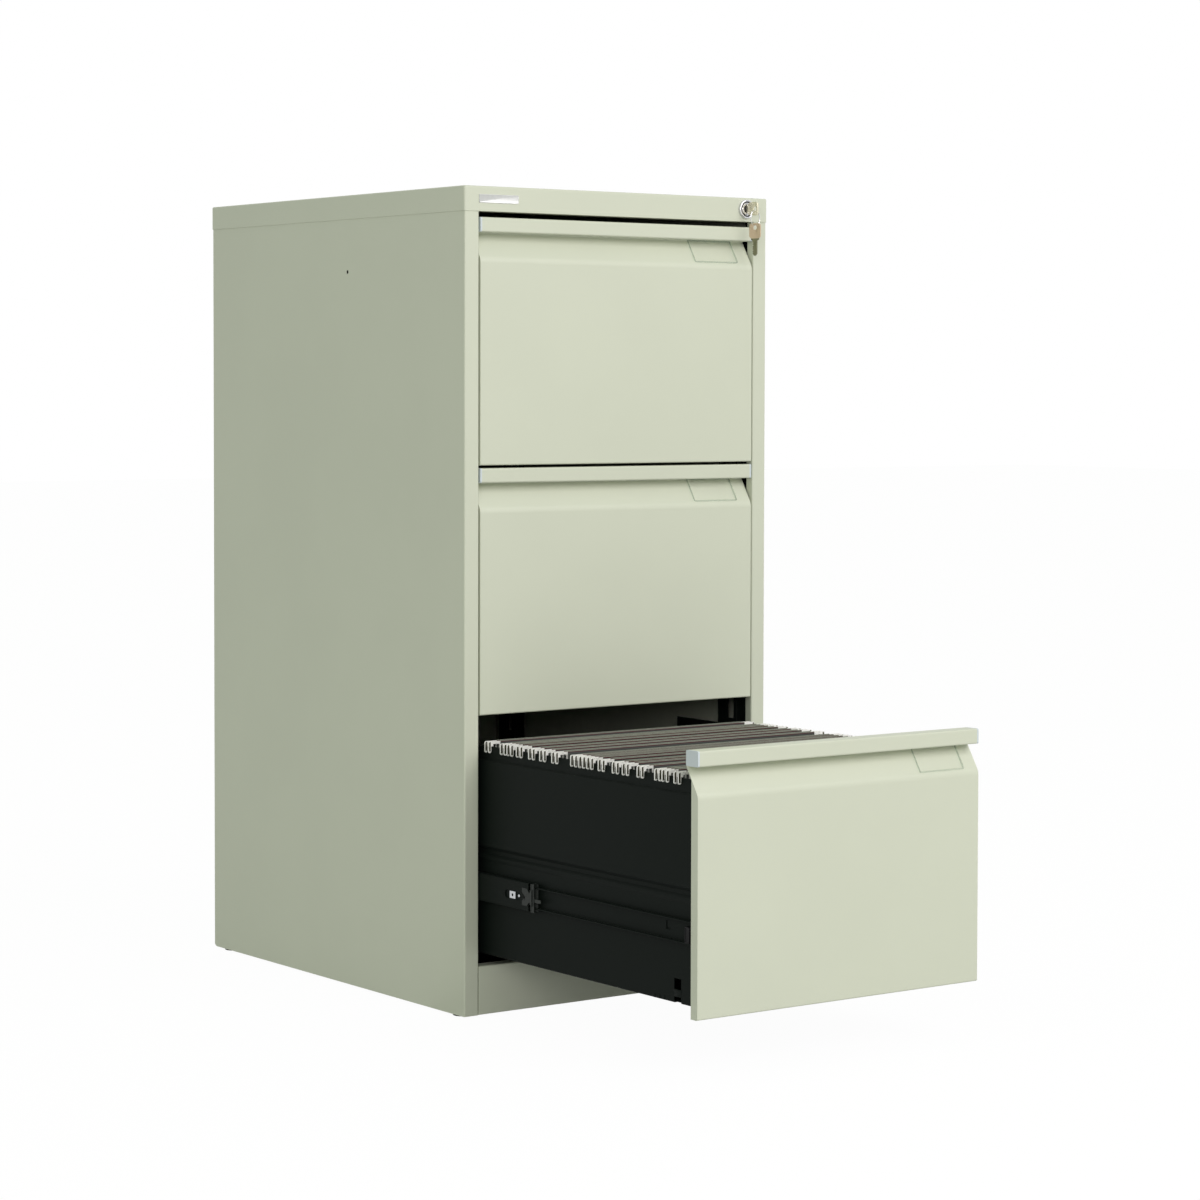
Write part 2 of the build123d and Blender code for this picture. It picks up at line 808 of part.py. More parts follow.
# Barrel with its keyway
barrel_front = lock_front + barrel_recess
with BuildPart() as barrel:
    with BuildSketch(facing_back(barrel_front)):
        with Locations((lock_x, lock_z)):
            Circle(barrel_radius)
    extrude(amount=-(lock_rear - barrel_front))
    with BuildSketch(facing_back(barrel_front)):
        with Locations((lock_x, lock_z)):
            Rectangle(key_gauge + 2 * key_fit, blade_width + 2 * key_fit)
    extrude(amount=-(blade_length + 2 * key_fit), mode=Mode.SUBTRACT)
    with BuildSketch(facing_back(barrel_front)):
        with Locations((lock_x, lock_z)):
            Circle(barrel_radius - barrel_band)
            Circle(barrel_radius - barrel_band - barrel_groove, mode=Mode.SUBTRACT)
    extrude(amount=-barrel_recess / 2, mode=Mode.SUBTRACT)
save(barrel.part, "lock_barrel")

# Cam on the barrel's rear end, with the crank pin that lifts the locking rod
pin_x = lock_x + crank_rise
pin_z = lock_z - crank_rise
with BuildPart() as cam:
    with BuildSketch(facing_back(lock_rear)):
        with Locations((lock_x, lock_z)):
            Circle(barrel_radius)
        with Locations((pin_x, pin_z)):
            Circle(crank_pin_radius * 2)
    extrude(amount=-cam_gauge)
    with BuildSketch(facing_back(lock_rear + cam_gauge)):
        with Locations((pin_x, pin_z)):
            Circle(crank_pin_radius)
    extrude(amount=-(rod_y - lock_rear - cam_gauge + 2 * rod_gauge))
save(cam.part, "lock_cam")

# Locking rod behind the right upright: a bar, one hook for each drawer and the slotted plate on the cam
rod_tab_left = pin_x - 3 * crank_pin_radius
rod_low = drawer_base(drawer_count) + latch_tab_level - rod_lift - hook_height
rod_top = pin_z + 3 * crank_pin_radius
hook_reach = upper_face + 2 * free_gap
with BuildPart() as rod:
    add(block((rod_inner, rod_y, rod_low), (rod_outer, rod_y + rod_gauge, rod_top)))
    for number in range(1, drawer_count + 1):
        hook_top = drawer_base(number) + latch_tab_level - free_gap
        low = (hook_reach, rod_y, hook_top - hook_height)
        add(block(low, (rod_inner - touch_gap, rod_y + rod_gauge, hook_top)))
    with BuildSketch(facing_back(rod_y)):
        plate_right = rod_inner - touch_gap
        with Locations(((rod_tab_left + plate_right) / 2, pin_z)):
            Rectangle(plate_right - rod_tab_left, 6 * crank_pin_radius)
        with Locations((pin_x + crank_pin_radius / 2, pin_z)):
            slot_height = 2 * (crank_pin_radius + pin_slot_fit)
            SlotOverall(4 * crank_pin_radius, slot_height, mode=Mode.SUBTRACT)
    extrude(amount=-rod_gauge)
save(rod.part, "lock_rod")

# Guides that hold the rod against the inside of the right side panel
with BuildPart() as guides:
    for number in range(1, drawer_count + 1):
        z = drawer_base(number) + tub_top - hook_rail - guide_below_rail
        around = free_gap + guide_wall
        low = (rod_inner - around, rod_y - around, z)
        high = (body_half - shell_gauge, rod_y + rod_gauge + around, z + guide_height)
        add(block(low, high))
        low = (rod_inner - free_gap, rod_y - free_gap, z - cut_margin)
        high = (rod_outer + free_gap, rod_y + rod_gauge + free_gap, z + guide_height + cut_margin)
        add(block(low, high), mode=Mode.SUBTRACT)
save(guides.part, "lock_rod_guides")

# Key in the lock, drawn from the centre of its bow's hole towards the tip of its blade
bow_end = bow_length - bow_hole_margin
blade_start = bow_end + collar_length
key_y = barrel_front - free_gap - blade_start
key_plane = Plane(origin=(lock_x, key_y, lock_z), x_dir=(0, 1, 0), z_dir=(1, 0, 0))
with BuildPart() as key:
    with BuildSketch(key_plane):
        with Locations((bow_end - bow_length / 2, 0)):
            RectangleRounded(bow_length, bow_width, bow_corner)
        with Locations((bow_end, 0)):
            Rectangle(2 * collar_length, collar_width)
        tip = blade_width / 2
        with Locations((blade_start + (blade_length - tip) / 2, 0)):
            Rectangle(blade_length - tip, blade_width)
        with Locations((blade_start + blade_length - tip, 0)):
            Circle(tip)
        for step, depth in enumerate(bitting):
            with Locations((blade_start + bit_start + bit_pitch * step, tip)):
                Rectangle(bit_width, 2 * depth, mode=Mode.SUBTRACT)
        Circle(bow_hole_radius, mode=Mode.SUBTRACT)
    extrude(amount=key_gauge / 2, both=True)
save(key.part, "key_in_lock")

# Ring that hangs in the bow's hole
wire_radius = ring_wire / 2
ring_top = lock_z - bow_hole_radius + wire_radius + ring_gap
with BuildPart() as ring:
    with Locations((lock_x, key_y, ring_top - ring_radius)):
        Torus(ring_radius, wire_radius, rotation=(90, ring_turn, 0))
save(ring.part, "key_ring")

# Plain plate on the left of the cap's front skirt
with BuildPart() as badge:
    badge_x = -cabinet_width / 2 + badge_from_left + badge_width / 2
    with BuildSketch(facing_back(cap_face)):
        with Locations((badge_x, cabinet_height - badge_below_top)):
            RectangleRounded(badge_width, badge_height, badge_corner)
    extrude(amount=badge_gauge)
save(badge.part, "badge_plate")
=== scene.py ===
"""Looks of the three-drawer filing cabinet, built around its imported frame. Metres."""
import json
import math
import random

import bpy
from mathutils import Matrix, Vector


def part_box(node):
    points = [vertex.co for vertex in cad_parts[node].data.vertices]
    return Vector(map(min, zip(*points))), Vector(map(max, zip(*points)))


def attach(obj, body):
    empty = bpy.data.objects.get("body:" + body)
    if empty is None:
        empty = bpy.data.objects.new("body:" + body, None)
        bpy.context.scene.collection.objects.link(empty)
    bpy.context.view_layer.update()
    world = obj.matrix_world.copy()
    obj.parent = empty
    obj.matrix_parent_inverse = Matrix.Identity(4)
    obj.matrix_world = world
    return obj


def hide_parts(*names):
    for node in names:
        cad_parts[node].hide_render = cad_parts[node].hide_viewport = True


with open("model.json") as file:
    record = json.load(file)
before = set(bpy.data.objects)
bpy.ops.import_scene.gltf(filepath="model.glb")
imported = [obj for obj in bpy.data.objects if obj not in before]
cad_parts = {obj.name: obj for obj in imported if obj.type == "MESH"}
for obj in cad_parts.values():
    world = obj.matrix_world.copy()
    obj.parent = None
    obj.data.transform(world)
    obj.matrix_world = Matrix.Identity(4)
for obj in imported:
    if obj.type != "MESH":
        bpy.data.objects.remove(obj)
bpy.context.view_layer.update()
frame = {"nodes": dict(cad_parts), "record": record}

MM = 0.001
DRAWERS = (1, 2, 3)


class Value:
    """A socket in a material. Arithmetic on it adds Math nodes."""

    def __init__(self, tree, socket):
        self.tree = tree
        self.socket = socket

    def node(self, kind, settings, inputs, out=0):
        """Add a node: its settings first, then the values or links of its sockets."""
        made = self.tree.nodes.new(kind)
        for name, value in settings.items():
            setattr(made, name, value)
        for name, value in inputs.items():
            if isinstance(value, Value):
                self.tree.links.new(value.socket, made.inputs[name])
            else:
                made.inputs[name].default_value = value
        return Value(self.tree, made.outputs[out])

    def maths(self, operation, other):
        return self.node("ShaderNodeMath", {"operation": operation}, {0: self, 1: other})

    def __add__(self, other):
        return self.maths("ADD", other)

    def __mul__(self, other):
        return self.maths("MULTIPLY", other)

    def __gt__(self, other):
        return self.maths("GREATER_THAN", other)

    def __lt__(self, other):
        return self.maths("LESS_THAN", other)

    def noise(self, scale, detail=2.0):
        """Noise from 0 to 1 on this vector, with its scale in features per metre."""
        return self.node("ShaderNodeTexNoise", {}, {"Vector": self, "Scale": scale, "Detail": detail})

    def ease(self, low, high):
        """0 below one value and 1 above the other, with a soft step between."""
        settings = {"interpolation_type": "SMOOTHSTEP"}
        inputs = {"Value": self, "From Min": low, "From Max": high, "To Min": 0.0, "To Max": 1.0}
        return self.node("ShaderNodeMapRange", settings, inputs)

    def between(self, first, second):
        """Blend two colours by this value."""
        inputs = {0: self, 6: colour_input(first), 7: colour_input(second)}
        return self.node("ShaderNodeMix", {"data_type": "RGBA"}, inputs, out=2)

    def bump(self, height, strength):
        """A normal from this value as a relief of the given height in metres."""
        inputs = {"Height": self, "Distance": height, "Strength": strength}
        return self.node("ShaderNodeBump", {}, inputs)


def colour_input(colour):
    return colour if isinstance(colour, Value) else (*colour, 1.0)


class Finish:
    """A material with its shader and the Object coordinates that its patterns use."""

    def __init__(self, name, colour, roughness, metallic=0.0, **constants):
        self.material = bpy.data.materials.new(name)
        self.material.use_nodes = True
        self.tree = self.material.node_tree
        self.shader = self.tree.nodes["Principled BSDF"]
        self.place = Value(self.tree, self.tree.nodes.new("ShaderNodeTexCoord").outputs["Object"])
        self.set("Base Color", (*colour, 1.0))
        self.set("Roughness", roughness)
        self.set("Metallic", metallic)
        for name, value in constants.items():
            self.set(name.replace("_", " ").title(), value)

    def set(self, name, value):
        socket = self.shader.inputs[name]
        if isinstance(value, Value):
            self.tree.links.new(value.socket, socket)
        else:
            socket.default_value = value

    def axis(self, name):
        """One coordinate of the place on the object."""
        split = self.tree.nodes.new("ShaderNodeSeparateXYZ")
        self.tree.links.new(self.place.socket, split.inputs[0])
        return Value(self.tree, split.outputs[name])


def srgb(red, green, blue):
    """Linear values of a colour that is written in the usual 0 to 255."""
    parts = [part / 255 for part in (red, green, blue)]
    return tuple(part / 12.92 if part <= 0.04045 else ((part + 0.055) / 1.055) ** 2.4 for part in parts)


def shade(colour, factor):
    return tuple(part * factor for part in colour)


def powder_coat(name, colour, roughness, grain, specular=0.5):
    """Paint with faint clouding, and the fine pimpled skin that powder coat has."""
    coat = Finish(name, colour, roughness)
    coat.set("Specular IOR Level", specular)
    clouds = coat.place.noise(CLOUD_SCALE, 3.0).ease(0.3, 0.7)
    darker, lighter = shade(colour, 1.0 - CLOUD_DEPTH), shade(colour, 1.0 + CLOUD_DEPTH)
    coat.set("Base Color", clouds.between(darker, lighter))
    skin = coat.place.noise(grain, 1.0)
    coat.set("Roughness", skin.ease(0.2, 0.8) * 0.08 + (roughness - 0.04))
    coat.set("Normal", skin.bump(SKIN_HEIGHT, 0.35))
    return coat


def moulded(name, colour, roughness, specular=0.5):
    """Plastic with the fine matt grain of its mould."""
    plastic = Finish(name, colour, roughness)
    plastic.set("Specular IOR Level", specular)
    grain = plastic.place.noise(MOULD_GRAIN, 2.0)
    plastic.set("Base Color", grain.ease(0.3, 0.7).between(shade(colour, 0.96), shade(colour, 1.03)))
    plastic.set("Normal", grain.bump(MOULD_HEIGHT, 0.3))
    return plastic


def clear_moulding(name, colour, opacity):
    """See-through plastic with faint scuffs."""
    plastic = Finish(name, colour, CLEAR_ROUGHNESS, alpha=opacity)
    scuffs = plastic.place.noise(SCUFF_SCALE).ease(0.3, 0.7)
    plastic.set("Roughness", scuffs * 0.08 + CLEAR_ROUGHNESS)
    return plastic


def plated(name, colour, roughness, streaks=260.0, metallic=1.0):
    """Plated or worn metal with a faint change of gloss and shade along it."""
    metal = Finish(name, colour, roughness, metallic)
    patches = metal.place.noise(streaks, 3.0)
    metal.set("Roughness", patches.ease(0.3, 0.7) * 0.1 + (roughness - 0.04))
    metal.set("Base Color", patches.ease(0.2, 0.8).between(shade(colour, 0.93), colour))
    return metal


def file_card_finish(name, tint):
    """Card with a fine fibre, painted light on the top of its fold, and a thin dark red band below it."""
    made = Finish(name, tint, 0.8)
    fibre = made.place.noise(FIBRE_SCALE, 4.0)
    grain = fibre.ease(0.3, 0.7)
    sheet = grain.between(shade(tint, 0.9), shade(tint, 1.08))
    height = made.axis("Z")
    line = (height > LINE_LOW) * (height < LINE_HIGH)
    lined = line.between(sheet, LINE_RED)
    # Painted light on the top of the fold, above the dark red band
    lit_top = grain.between(*FOLD_PAINTED_LIGHT)
    made.set("Base Color", height.ease(LIT_TOP_START, LIT_TOP_END).between(lined, lit_top))
    made.set("Normal", fibre.bump(FIBRE_HEIGHT, 0.4))
    return made


# Patterns in features per metre, and reliefs and heights in metres
CLOUD_SCALE = 7.0
CLOUD_DEPTH = 0.01
SKIN_HEIGHT = 0.00006
MOULD_GRAIN = 2600.0
MOULD_HEIGHT = 0.00003
SCUFF_SCALE = 900.0
CLEAR_ROUGHNESS = 0.12
FIBRE_SCALE = 1500.0
FIBRE_HEIGHT = 0.00004
# A thin dark red band on each card, just below its fold
LINE_LOW = 0.3391
LINE_HIGH = 0.3399
LINE_RED = srgb(74, 24, 34)
# Painted light: the top of each card's fold is coloured much lighter, where light from above falls on it
LIT_TOP_START = 0.3400
LIT_TOP_END = 0.3404
FOLD_PAINTED_LIGHT = (srgb(136, 142, 128), srgb(166, 172, 156))

shell_paint = powder_coat("shell_paint", srgb(209, 213, 194), 0.42, 1400.0)
black_paint = powder_coat("black_paint", srgb(21, 26, 23), 0.5, 1600.0, specular=0.05)

black_plastic = moulded("black_plastic", srgb(12, 12, 13), 0.5, specular=0.15)
dark_plastic = moulded("dark_plastic", srgb(40, 44, 41), 0.5, specular=0.25)
white_plastic = moulded("white_plastic", srgb(208, 217, 221), 0.4)
# Painted shade: black for the lock rim's groove and for the barrel's centre and keyway
lock_painted_shade = moulded("lock_painted_shade", srgb(14, 13, 12), 0.35)

chrome = plated("chrome", srgb(214, 215, 217), 0.1)
zinc = plated("zinc", srgb(196, 198, 200), 0.28)
satin = plated("satin_plate", srgb(196, 198, 194), 0.34)
bright_wire = plated("bright_wire", srgb(226, 227, 228), 0.16, 600.0)
nickel = plated("nickel", srgb(252, 251, 246), 0.3, metallic=0.2)
# Painted shade: a dark colour for the sunk middle of each file hook, where the dish lies in shade
hook_painted_shade = plated("hook_painted_shade", srgb(78, 76, 60), 0.4, metallic=0.4)
nickel_brass = plated("nickel_brass", srgb(230, 224, 198), 0.3, 500.0, metallic=0.5)
red_brass = plated("red_brass", srgb(214, 192, 164), 0.34, 500.0, metallic=0.5)
worn_brass = plated("worn_brass", srgb(130, 130, 102), 0.4, 500.0, metallic=0.5)

clear_film = clear_moulding("clear_film", srgb(226, 232, 216), 0.01)
clear_edge = clear_moulding("clear_edge", srgb(172, 196, 176), 0.35)

CARD_FINISHES = (
    file_card_finish("green_card", srgb(34, 40, 33)),
    file_card_finish("grey_card", srgb(62, 64, 60)),
    file_card_finish("dark_card", srgb(16, 18, 16)),
)

FINISHES = {
    "shell_paint": shell_paint,
    "black_paint": black_paint,
    "black_plastic": black_plastic,
    "white_plastic": white_plastic,
    "clear_plastic": clear_film,
    "ball_steel": zinc,
    "lock_chrome": chrome,
    "key_brass": nickel_brass,
    "hanger_steel": nickel,
    "pocket_card": CARD_FINISHES[0],
    "plate_satin": satin,
}

for subpart in frame["record"]["subparts"]:
    node = frame["nodes"][subpart["node"]]
    node.data.materials.clear()
    node.data.materials.append(FINISHES[subpart["material_slot"]].material)


def place(point):
    """A point or a step in metres, from millimetres."""
    return [part * MM for part in point]


def settle(name):
    """Name the newest piece and put its place, turn and scale into its mesh."""
    piece = bpy.context.object
    piece.name = name
    piece.data.name = name
    bpy.ops.object.transform_apply(location=True, rotation=True, scale=True)
    return piece


def block(name, low, high):
    """Add a block between two corners, in millimetres, to shape further."""
    bpy.ops.object.select_all(action="DESELECT")
    centre = [(a + b) / 2 for a, b in zip(low, high)]
    size = [b - a for a, b in zip(low, high)]
    bpy.ops.mesh.primitive_cube_add(size=1.0, location=place(centre), scale=place(size))
    return settle(name)


def drum(name, centre, radius, length, axis, sides=24):
    """Add a round bar along one axis, in millimetres, to shape further."""
    bpy.ops.object.select_all(action="DESELECT")
    turn = {"X": (0.0, math.pi / 2, 0.0), "Y": (math.pi / 2, 0.0, 0.0), "Z": (0.0, 0.0, 0.0)}[axis]
    bpy.ops.mesh.primitive_cylinder_add(
        vertices=sides, radius=radius * MM, depth=length * MM, location=place(centre), rotation=turn
    )
    return settle(name)


def everything(at, way=None):
    """A test that every point, edge and face passes."""
    return True


def activate(*pieces):
    """Select these pieces alone; the last one becomes the active one."""
    bpy.ops.object.select_all(action="DESELECT")
    for piece in pieces:
        piece.select_set(True)
        bpy.context.view_layer.objects.active = piece
    return pieces[-1]


def open_edit(piece, faces=None, edges=None, points=None):
    """Open a piece in edit mode with only the faces, edges or points that pass a test selected.

    A face is tested by its centre and normal, an edge by its middle and direction, and a point
    by its place, all in millimetres.
    """
    activate(piece)
    mesh = piece.data
    bpy.context.tool_settings.mesh_select_mode = (points is not None, edges is not None, faces is not None)
    for part in (*mesh.vertices, *mesh.edges, *mesh.polygons):
        part.select = False
    if faces is not None:
        for face in mesh.polygons:
            face.select = faces(face.center / MM, face.normal)
    if edges is not None:
        for edge in mesh.edges:
            first, second = (mesh.vertices[number].co / MM for number in edge.vertices)
            edge.select = edges((first + second) / 2, (second - first).normalized())
    if points is not None:
        for point in mesh.vertices:
            point.select = points(point.co / MM)
    bpy.ops.object.mode_set(mode="EDIT")


def close_edit():
    bpy.ops.object.mode_set(mode="OBJECT")


def pull(x=0.0, y=0.0, z=0.0):
    """Extrude what is selected by a step in millimetres."""
    bpy.ops.mesh.extrude_region_move(TRANSFORM_OT_translate={"value": place((x, y, z))})


def round_off(piece, edges, radius, steps=5):
    """Round the edges that pass a test."""
    open_edit(piece, edges=edges)
    bpy.ops.mesh.bevel(offset=radius * MM, segments=steps, affect="EDGES")
    close_edit()


def sink(piece, faces, margin, depth):
    """Inset the faces that pass a test, and sink them by a depth in millimetres."""
    open_edit(piece, faces=faces)
    bpy.ops.mesh.inset(thickness=margin * MM, depth=-depth * MM)
    close_edit()


def cut_away(piece, cutter):
    """Cut one piece out of another."""
    cut = piece.modifiers.new("cut", "BOOLEAN")
    cut.operation = "DIFFERENCE"
    cut.solver = "EXACT"
    cut.object = cutter
    activate(piece)
    bpy.ops.object.modifier_apply(modifier=cut.name)
    bpy.data.objects.remove(cutter)


def mirrored(piece):
    """Add the same shape on the other side of the cabinet's middle."""
    flip = piece.modifiers.new("other_hand", "MIRROR")
    flip.use_clip = False
    flip.merge_threshold = 0.00001
    activate(piece)
    bpy.ops.object.modifier_apply(modifier=flip.name)
    return piece


def softened(piece, width=0.2, steps=2):
    """Take the sharpness off a piece's edges."""
    soft = piece.modifiers.new("soft_edges", "BEVEL")
    soft.width = width * MM
    soft.segments = steps
    soft.limit_method = "ANGLE"
    soft.angle_limit = math.radians(32)
    activate(piece)
    bpy.ops.object.modifier_apply(modifier=soft.name)
    return piece


def facing_out(piece):
    """Merge doubled points and turn every face outwards."""
    open_edit(piece, points=everything)
    bpy.ops.mesh.select_all(action="SELECT")
    bpy.ops.mesh.remove_doubles(threshold=0.000005)
    bpy.ops.mesh.normals_make_consistent(inside=False)
    close_edit()
    return piece


def duplicate(piece, name):
    """Copy a piece with a mesh of its own."""
    twin = piece.copy()
    twin.data = piece.data.copy()
    twin.name = name
    twin.data.name = name
    bpy.context.collection.objects.link(twin)
    return twin


def carried(piece, x=0.0, y=0.0, z=0.0, turn=(0.0, 0.0, 0.0)):
    """Turn a piece about the origin, then move it, and keep that in its mesh."""
    activate(piece)
    piece.rotation_euler = [math.radians(part) for part in turn]
    piece.location = place((x, y, z))
    bpy.ops.object.transform_apply(location=True, rotation=True, scale=True)
    return piece


def joined(name, *pieces):
    """Make several pieces one, under a new name."""
    piece = activate(*pieces)
    bpy.ops.object.join()
    piece.name = name
    piece.data.name = name
    return piece


def turned(name, x, z, stations, ring=False, sides=64):
    """A piece turned about an axis from front to back: a radius and a depth for each step.

    A ring comes back to its first step, and anything else is closed by a disc at both ends.
    """
    bpy.ops.object.select_all(action="DESELECT")
    radius, depth = stations[0]
    bpy.ops.mesh.primitive_circle_add(
        vertices=sides, radius=radius * MM, fill_type="NOTHING" if ring else "NGON",
        location=place((x, depth, z)), rotation=(math.pi / 2, 0.0, 0.0),
    )
    piece = settle(name)
    if ring:
        open_edit(piece, edges=everything)
    else:
        open_edit(piece, faces=everything)
    bpy.ops.mesh.select_all(action="SELECT")
    for next_radius, next_depth in stations[1:]:
        pull(y=next_depth - depth)
        share = next_radius / radius
        if share != 1.0:
            middle = place((x, next_depth, z))
            bpy.ops.transform.resize(value=(share, 1.0, share), center_override=middle)
        radius, depth = next_radius, next_depth
    close_edit()
    return facing_out(piece)


def dressed(piece, body, slot, *finishes, choose=None, stands_for=(), smooth=35.0):
    """Smooth a finished piece, give it its finishes and say what it rides on and stands for."""
    activate(piece)
    bpy.ops.object.shade_smooth_by_angle(angle=math.radians(smooth))
    piece.data.materials.clear()
    for finish in finishes:
        piece.data.materials.append(finish.material)
    if choose:
        for face in piece.data.polygons:
            face.material_index = choose(face.center / MM, face.normal)
    if stands_for:
        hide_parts(*stands_for)
    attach(piece, body)
    return piece


def drawer_place(number):
    """Front plane and bottom edge of one drawer's front, in millimetres."""
    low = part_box(f"drawer_{number}_front")[0]
    return low[1] / MM, low[2] / MM


# Lock: rim, barrel and keyway
LOCK_X = 200.0
LOCK_Z = 1001.5
RIM_FRONT = -314.5
CAP_FACE = -311.0
LOCK_REAR = -289.0
RIM_GROOVE = (8.25, 9.78)
BARREL_DISH = 5.15
KEYWAY_END = -293.3
RIM_STEPS = [
    (9.0, LOCK_REAR), (9.0, CAP_FACE), (12.0, CAP_FACE), (12.0, -313.3), (11.7, -314.0), (11.1, -314.4),
    (10.5, RIM_FRONT), (10.0, -314.3), (9.8, -313.9), (9.7, -312.6), (8.3, -312.6), (8.2, -313.9),
    (7.9, -314.2), (7.3, -314.3), (6.8, -314.0), (6.6, -313.6), (6.55, LOCK_REAR), (9.0, LOCK_REAR),
]
BARREL_STEPS = [
    (6.5, LOCK_REAR), (6.5, -313.2), (6.3, -313.5), (5.4, -313.5), (5.2, -313.3), (5.1, -312.7),
    (4.3, -312.7), (4.2, -313.2), (3.9, -313.4),
]


def lock_radius(at):
    return math.hypot(at.x - LOCK_X, at.z - LOCK_Z)


def in_rim_groove(at, way):
    """1 for a face in the rim's groove, which is painted black as shade, and 0 for any other."""
    return int(RIM_GROOVE[0] < lock_radius(at) < RIM_GROOVE[1] and at.y < CAP_FACE - 1.0)


rim = turned("lock_rim", LOCK_X, LOCK_Z, RIM_STEPS, ring=True)
dressed(rim, "cabinet", "lock_chrome", chrome, lock_painted_shade, stands_for=("lock_housing",),
        choose=in_rim_groove)

barrel = turned("lock_barrel_turned", LOCK_X, LOCK_Z, BARREL_STEPS)
keyway_low = (LOCK_X - 1.1, -320.0, LOCK_Z - 2.6)
cut_away(barrel, block("keyway", keyway_low, (LOCK_X + 1.1, KEYWAY_END, LOCK_Z + 2.6)))
# The barrel's centre and keyway are painted black as shade.
dressed(barrel, "lock_barrel", "lock_chrome", chrome, lock_painted_shade, stands_for=("lock_barrel",),
        choose=lambda at, way: int(lock_radius(at) < BARREL_DISH and at.y < KEYWAY_END + 0.3))


# Keys: a bow with sunk faces, a collar and a notched blade, drawn from the bow's hole along Y
KEY_HALF = 1.0
BOW_START = -5.5
BOW_END = 14.0
BOW_HALF = 8.5
BLADE_HALF = 2.5
TAPER_START = 33.5
KEY_TIP = 36.0
FIRST_BIT = 20.0
BIT_PITCH = 3.0
BIT_HALF = 1.1
BITS = (0.70, 1.26, 0.56, 1.05, 0.77)
KEY_HOLE_Y = -330.0
RING_TURN = 16.0
SPARE_DROP = 24.3
SPARE_COLLAR = 13.5


def key_shape(name):
    corner = 4.0
    shoulder = BOW_END + 2.8
    key = block(name, (-KEY_HALF, BOW_START, -BOW_HALF), (KEY_HALF, BOW_END, BOW_HALF))
    round_off(key, lambda at, way: abs(way.x) > 0.9, corner)
    sink(key, lambda at, way: abs(way.x) > 0.9, 1.4, 0.3)
    open_edit(key, faces=lambda at, way: way.y > 0.9 and at.y > BOW_END - 0.1)
    pull(y=2.0)
    pull(y=0.8)
    narrowing = BLADE_HALF / (BOW_HALF - corner)
    bpy.ops.transform.resize(value=(1.0, 1.0, narrowing), center_override=place((0.0, shoulder, 0.0)))
    pull(y=TAPER_START - shoulder)
    pull(y=KEY_TIP - TAPER_START)
    bpy.ops.transform.resize(value=(1.0, 1.0, 0.35), center_override=place((0.0, KEY_TIP, 0.0)))
    close_edit()
    sink(facing_out(key), lambda at, way: abs(way.x) > 0.9 and 18.0 < at.y < 33.0, 1.5, 0.3)
    for step, depth in enumerate(BITS):
        middle = FIRST_BIT + BIT_PITCH * step
        for slice_at in (middle - BIT_HALF, middle, middle + BIT_HALF):
            open_edit(key, faces=everything)
            bpy.ops.mesh.bisect(plane_co=place((0.0, slice_at, 0.0)), plane_no=(0.0, 1.0, 0.0))
            close_edit()
        open_edit(key, points=lambda at: abs(at.y - middle) < 0.05 and at.z > BLADE_HALF - 0.1)
        bpy.ops.transform.translate(value=place((0.0, 0.0, -depth)))
        close_edit()
    cut_away(key, drum("hole", (0.0, 0.0, 0.0), 3.0, 6.0, "X", 40))
    return softened(key, 0.14)


key = carried(key_shape("key"), LOCK_X, KEY_HOLE_Y, LOCK_Z)
dressed(key, "lock_barrel", "key_brass", nickel_brass, stands_for=("key_in_lock",))

spare = carried(key_shape("spare_key"), turn=(-90.0, 0.0, 0.0))
carried(spare, LOCK_X, KEY_HOLE_Y, LOCK_Z - SPARE_DROP, turn=(0.0, 0.0, RING_TURN))
dressed(spare, "key_ring", "key_brass", red_brass, worn_brass,
        choose=lambda at, way: int(at.z < LOCK_Z - SPARE_DROP - SPARE_COLLAR))

# Split ring: two flat coils, a little apart at one side
RING_RADIUS = 9.9
RING_CENTRE_Z = 989.35
WIRE_RADIUS = 0.32
COIL_STEP = 0.3
COIL_SPLAY = 1.2


def ring_coil(name, offset, splay):
    bpy.ops.object.select_all(action="DESELECT")
    bpy.ops.mesh.primitive_torus_add(
        major_segments=72, minor_segments=10, major_radius=RING_RADIUS * MM, minor_radius=WIRE_RADIUS * MM
    )
    coil = settle(name)
    carried(coil, z=offset, turn=(splay, 0.0, 0.0))
    return carried(coil, turn=(90.0, 0.0, RING_TURN))


front_coil = ring_coil("coil_front", -COIL_STEP, 0.0)
ring = joined("split_ring", front_coil, ring_coil("coil_rear", COIL_STEP, COIL_SPLAY))
carried(ring, LOCK_X, KEY_HOLE_Y, RING_CENTRE_Z)
dressed(ring, "key_ring", "ball_steel", bright_wire, stands_for=("key_ring",))

# Plain plate on the cap
badge = block("cap_plate", (-214.0, -311.8, 995.65), (-156.0, -311.0, 1005.95))
round_off(badge, lambda at, way: abs(way.y) > 0.9, 1.0, 4)
sink(badge, lambda at, way: way.y < -0.9, 0.9, 0.2)
dressed(softened(badge, 0.12), "cabinet", "plate_satin", satin, stands_for=("badge_plate",))

